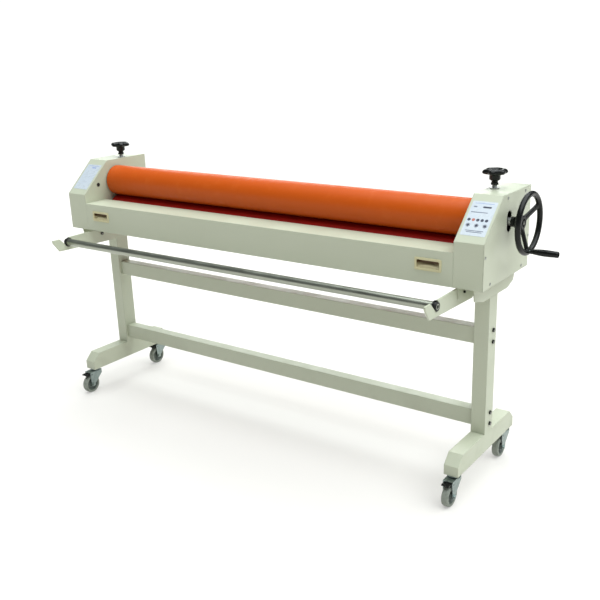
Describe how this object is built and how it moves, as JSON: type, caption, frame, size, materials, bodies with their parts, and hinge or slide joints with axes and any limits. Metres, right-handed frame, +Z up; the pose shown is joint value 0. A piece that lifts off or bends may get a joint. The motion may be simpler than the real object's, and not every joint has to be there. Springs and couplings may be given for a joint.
{
  "type": "cold roll laminator",
  "caption": "Manual cold roll laminator on a wheeled stand, with a handwheel-driven silicone roller, pressure knobs and a supply bar.",
  "frame": {"origin": "on the floor, under the centre of the machine's bounding box", "axes": "+X along the rollers towards the handwheel, -Y the feeding side, +Z up"},
  "size_m": [1.9974, 0.581, 1.037],
  "materials": {
    "frame_paint": "semi-gloss powder coat",
    "silicone": "smooth ground silicone",
    "dark_rubber": "smooth ground rubber",
    "steel": "machined",
    "polished_bar": "polished",
    "zinc": "zinc plated",
    "bolt_black": "black oxide",
    "black_plastic": "moulded phenolic",
    "black_matte": "moulded",
    "beige_plastic": "moulded",
    "label_film": "printed film",
    "tyre_grey": "smooth"
  },
  "bodies": {
    "frame": {"left_post": "frame_paint", "right_post": "frame_paint", "left_foot": "frame_paint", "right_foot": "frame_paint", "upper_cross_beam": "frame_paint", "lower_cross_beam": "frame_paint", "left_top_bracket": "frame_paint", "right_top_bracket": "frame_paint", "stand_bolts": "bolt_black", "left_side_frame": "steel", "right_side_frame": "steel", "tie_bars": "steel", "left_housing": "frame_paint", "right_housing": "frame_paint", "left_end_cover": "frame_paint", "right_end_cover": "frame_paint", "cover_screws": "steel", "wall_plugs": "black_matte", "front_apron": "frame_paint", "rear_apron": "frame_paint", "pull_handles": "beige_plastic", "labels": "label_film", "left_bar_arm": "frame_paint", "right_bar_arm": "frame_paint", "arm_bolts": "bolt_black", "lower_bearings": "steel", "screw_bushes": "steel", "caster_stems": "zinc"},
    "lower_roller": {"lower_roller_shaft": "steel", "lower_roller_sleeve": "dark_rubber"},
    "nip_carriage": {"bearing_blocks": "steel", "upper_bearings": "steel", "keeper_plates": "steel"},
    "upper_roller": {"upper_roller_shaft": "steel", "upper_roller_sleeve": "silicone", "handwheel": "black_plastic", "hub_bolt": "bolt_black", "grip_stud": "zinc"},
    "crank_grip": {"crank_grip": "black_plastic"},
    "left_screw": {"left_pressure_screw": "steel", "left_jam_nut": "bolt_black", "left_knob": "black_plastic"},
    "right_screw": {"right_pressure_screw": "steel", "right_jam_nut": "bolt_black", "right_knob": "black_plastic"},
    "bar_bushes": {"bar_bushes": "black_matte"},
    "supply_bar": {"supply_bar": "polished_bar"},
    "front_left_caster": {"front_left_fork": "zinc"},
    "front_left_wheel": {"front_left_rim": "black_matte", "front_left_tyre": "tyre_grey"},
    "front_left_pedal": {"front_left_brake": "black_plastic"},
    "front_right_caster": {"front_right_fork": "zinc"},
    "front_right_wheel": {"front_right_rim": "black_matte", "front_right_tyre": "tyre_grey"},
    "front_right_pedal": {"front_right_brake": "black_plastic"},
    "rear_left_caster": {"rear_left_fork": "zinc"},
    "rear_left_wheel": {"rear_left_rim": "black_matte", "rear_left_tyre": "tyre_grey"},
    "rear_left_pedal": {"rear_left_brake": "black_plastic"},
    "rear_right_caster": {"rear_right_fork": "zinc"},
    "rear_right_wheel": {"rear_right_rim": "black_matte", "rear_right_tyre": "tyre_grey"},
    "rear_right_pedal": {"rear_right_brake": "black_plastic"}
  },
  "joints": [
    {"name": "left_knob_turn", "type": "hinge", "parent": "nip_carriage", "child": "left_screw", "pos_m": [-0.92025, 0.1295, 0.976], "axis": [0, 0, 1], "range_deg": [0, 3600]},
    {"name": "right_knob_turn", "type": "hinge", "parent": "nip_carriage", "child": "right_screw", "pos_m": [0.76375, 0.1295, 0.976], "axis": [0, 0, 1], "range_deg": [0, 3600]},
    {"name": "nip_lift", "type": "slide", "parent": "frame", "child": "nip_carriage", "axis": [0, 0, 1], "range_m": [0, 0.02]},
    {"name": "upper_roller_spin", "type": "hinge", "parent": "nip_carriage", "child": "upper_roller", "pos_m": [-0.07825, 0.0725, 0.8903], "axis": [1, 0, 0], "continuous": true},
    {"name": "lower_roller_spin", "type": "hinge", "parent": "frame", "child": "lower_roller", "pos_m": [-0.07825, 0.0725, 0.7745], "axis": [1, 0, 0], "continuous": true},
    {"name": "crank_grip_spin", "type": "hinge", "parent": "upper_roller", "child": "crank_grip", "pos_m": [0.95675, 0.0725, 0.8043], "axis": [1, 0, 0], "continuous": true},
    {"name": "bar_lift", "type": "slide", "parent": "frame", "child": "bar_bushes", "axis": [0, -0.7071, 0.7071], "range_m": [0, 0.06]},
    {"name": "bar_spin", "type": "hinge", "parent": "bar_bushes", "child": "supply_bar", "pos_m": [-0.07825, -0.2155, 0.683], "axis": [1, 0, 0], "continuous": true},
    {"name": "front_left_swivel", "type": "hinge", "parent": "frame", "child": "front_left_caster", "pos_m": [-0.93125, -0.1275, 0.093], "axis": [0, 0, 1], "continuous": true},
    {"name": "front_left_roll", "type": "hinge", "parent": "front_left_caster", "child": "front_left_wheel", "pos_m": [-0.93125, -0.1595, 0.0375], "axis": [1, 0, 0], "continuous": true},
    {"name": "front_left_brake_press", "type": "hinge", "parent": "front_left_caster", "child": "front_left_pedal", "pos_m": [-0.93125, -0.1635, 0.082], "axis": [1, 0, 0], "range_deg": [0, 12]},
    {"name": "front_right_swivel", "type": "hinge", "parent": "frame", "child": "front_right_caster", "pos_m": [0.77475, -0.1275, 0.093], "axis": [0, 0, 1], "continuous": true},
    {"name": "front_right_roll", "type": "hinge", "parent": "front_right_caster", "child": "front_right_wheel", "pos_m": [0.77475, -0.1595, 0.0375], "axis": [1, 0, 0], "continuous": true},
    {"name": "front_right_brake_press", "type": "hinge", "parent": "front_right_caster", "child": "front_right_pedal", "pos_m": [0.77475, -0.1635, 0.082], "axis": [1, 0, 0], "range_deg": [0, 12]},
    {"name": "rear_left_swivel", "type": "hinge", "parent": "frame", "child": "rear_left_caster", "pos_m": [-0.93125, 0.2665, 0.093], "axis": [0, 0, 1], "continuous": true},
    {"name": "rear_left_roll", "type": "hinge", "parent": "rear_left_caster", "child": "rear_left_wheel", "pos_m": [-0.93125, 0.2345, 0.0375], "axis": [1, 0, 0], "continuous": true},
    {"name": "rear_left_brake_press", "type": "hinge", "parent": "rear_left_caster", "child": "rear_left_pedal", "pos_m": [-0.93125, 0.2305, 0.082], "axis": [1, 0, 0], "range_deg": [0, 12]},
    {"name": "rear_right_swivel", "type": "hinge", "parent": "frame", "child": "rear_right_caster", "pos_m": [0.77475, 0.2665, 0.093], "axis": [0, 0, 1], "continuous": true},
    {"name": "rear_right_roll", "type": "hinge", "parent": "rear_right_caster", "child": "rear_right_wheel", "pos_m": [0.77475, 0.2345, 0.0375], "axis": [1, 0, 0], "continuous": true},
    {"name": "rear_right_brake_press", "type": "hinge", "parent": "rear_right_caster", "child": "rear_right_pedal", "pos_m": [0.77475, 0.2305, 0.082], "axis": [1, 0, 0], "range_deg": [0, 12]}
  ],
  "couplings": [
    {"joint": "left_knob_turn", "follows": "nip_lift", "rad_per_m": 3141.6},
    {"joint": "right_knob_turn", "follows": "nip_lift", "rad_per_m": 3141.6},
    {"joint": "lower_roller_spin", "follows": "upper_roller_spin", "ratio": -1.1}
  ]
}
